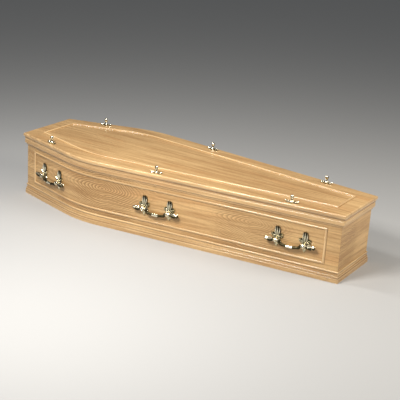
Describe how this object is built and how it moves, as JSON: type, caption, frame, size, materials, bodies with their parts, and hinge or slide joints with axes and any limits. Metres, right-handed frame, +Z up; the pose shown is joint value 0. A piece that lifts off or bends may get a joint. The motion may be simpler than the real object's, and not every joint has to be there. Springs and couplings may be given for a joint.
{
  "type": "coffin",
  "caption": "Panelled oak coffin with a moulded lift-off lid, swing bail handles on leaf-shaped plates along both sides, and bud-topped wreath holders round the lid's margin.",
  "frame": {"origin": "on the floor, under the middle of the coffin", "axes": "+X along the length to the foot end, +Z up, -Y to the side that the picture shows"},
  "size_m": [1.98, 0.6866, 0.3976],
  "materials": {
    "oak_veneer": "satin lacquered light oak veneer",
    "oak_moulding": "satin lacquered light oak moulding",
    "pale_brass": "bright pale brass casting"
  },
  "bodies": {
    "coffin": {"base_board": "oak_veneer", "side_board_near": "oak_veneer", "side_board_far": "oak_veneer", "end_board_head": "oak_veneer", "end_board_foot": "oak_veneer", "plinth_near": "oak_moulding", "plinth_far": "oak_moulding", "plinth_head": "oak_moulding", "plinth_foot": "oak_moulding", "top_moulding_near": "oak_moulding", "top_moulding_far": "oak_moulding", "top_moulding_head": "oak_moulding", "top_moulding_foot": "oak_moulding", "panel_bead_near_top": "oak_moulding", "panel_bead_near_bottom": "oak_moulding", "panel_bead_near_head": "oak_moulding", "panel_bead_near_foot": "oak_moulding", "panel_bead_far_top": "oak_moulding", "panel_bead_far_bottom": "oak_moulding", "panel_bead_far_head": "oak_moulding", "panel_bead_far_foot": "oak_moulding", "lid_board": "oak_veneer", "lid_drop_near": "oak_moulding", "lid_drop_far": "oak_moulding", "lid_drop_head": "oak_moulding", "lid_drop_foot": "oak_moulding", "lid_bead_near": "oak_moulding", "lid_bead_far": "oak_moulding", "lid_bead_head": "oak_moulding", "lid_bead_foot": "oak_moulding", "handle_plate_near_head_head": "pale_brass", "handle_plate_near_head_foot": "pale_brass", "handle_plate_near_middle_head": "pale_brass", "handle_plate_near_middle_foot": "pale_brass", "handle_plate_near_foot_head": "pale_brass", "handle_plate_near_foot_foot": "pale_brass", "handle_plate_far_head_head": "pale_brass", "handle_plate_far_head_foot": "pale_brass", "handle_plate_far_middle_head": "pale_brass", "handle_plate_far_middle_foot": "pale_brass", "handle_plate_far_foot_head": "pale_brass", "handle_plate_far_foot_foot": "pale_brass", "wreath_holder_near_head": "pale_brass", "wreath_holder_near_middle": "pale_brass", "wreath_holder_near_foot": "pale_brass", "wreath_holder_far_head": "pale_brass", "wreath_holder_far_middle": "pale_brass", "wreath_holder_far_foot": "pale_brass"},
    "handle_near_head": {"bail_near_head": "pale_brass"},
    "handle_near_middle": {"bail_near_middle": "pale_brass"},
    "handle_near_foot": {"bail_near_foot": "pale_brass"},
    "handle_far_head": {"bail_far_head": "pale_brass"},
    "handle_far_middle": {"bail_far_middle": "pale_brass"},
    "handle_far_foot": {"bail_far_foot": "pale_brass"}
  },
  "joints": [
    {"name": "near_head_swing", "type": "hinge", "parent": "coffin", "child": "handle_near_head", "pos_m": [-0.73473, -0.27771, 0.157], "axis": [-0.9576, 0.2882, 0], "range_deg": [0, 90]},
    {"name": "near_middle_swing", "type": "hinge", "parent": "coffin", "child": "handle_near_middle", "pos_m": [-0.01175, -0.30067, 0.157], "axis": [-0.9937, -0.1124, 0], "range_deg": [0, 90]},
    {"name": "near_foot_swing", "type": "hinge", "parent": "coffin", "child": "handle_near_foot", "pos_m": [0.72425, -0.21742, 0.157], "axis": [-0.9937, -0.1124, 0], "range_deg": [0, 90]},
    {"name": "far_head_swing", "type": "hinge", "parent": "coffin", "child": "handle_far_head", "pos_m": [-0.73473, 0.27771, 0.157], "axis": [0.9576, 0.2882, 0], "range_deg": [0, 90]},
    {"name": "far_middle_swing", "type": "hinge", "parent": "coffin", "child": "handle_far_middle", "pos_m": [-0.01175, 0.30067, 0.157], "axis": [0.9937, -0.1124, 0], "range_deg": [0, 90]},
    {"name": "far_foot_swing", "type": "hinge", "parent": "coffin", "child": "handle_far_foot", "pos_m": [0.72425, 0.21742, 0.157], "axis": [0.9937, -0.1124, 0], "range_deg": [0, 90]}
  ]
}
